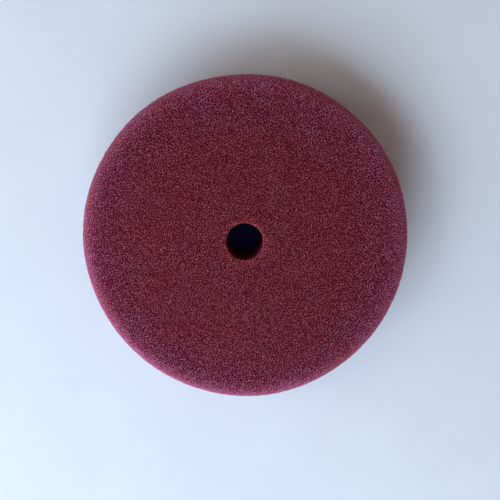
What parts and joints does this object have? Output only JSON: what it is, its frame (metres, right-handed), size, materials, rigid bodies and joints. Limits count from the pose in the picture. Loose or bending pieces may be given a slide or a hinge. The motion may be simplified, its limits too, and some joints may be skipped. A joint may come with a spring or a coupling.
{
  "type": "polishing pad",
  "caption": "Round open-cell foam polishing pad with a rounded working edge, tapered side, blind centre hole and a hook-and-loop backing.",
  "frame": {"origin": "centre of the loop side, on the surface the pad lies on", "axes": "+Z along the pad's axis of rotation, from the loop side to the working face; X and Y are any two directions across it, because the pad is round"},
  "size_m": [0.15, 0.15, 0.03],
  "materials": {
    "foam": "matte open-cell polyurethane foam, maroon",
    "adhesive": "hot-melt film, amber",
    "cloth": "warp-knitted ground cloth, navy",
    "pile": "brushed nylon loop pile, dark navy"
  },
  "bodies": {
    "root": {"foam_disc": "foam", "adhesive_film": "adhesive", "backing_cloth": "cloth", "loop_pile": "pile"}
  },
  "joints": []
}
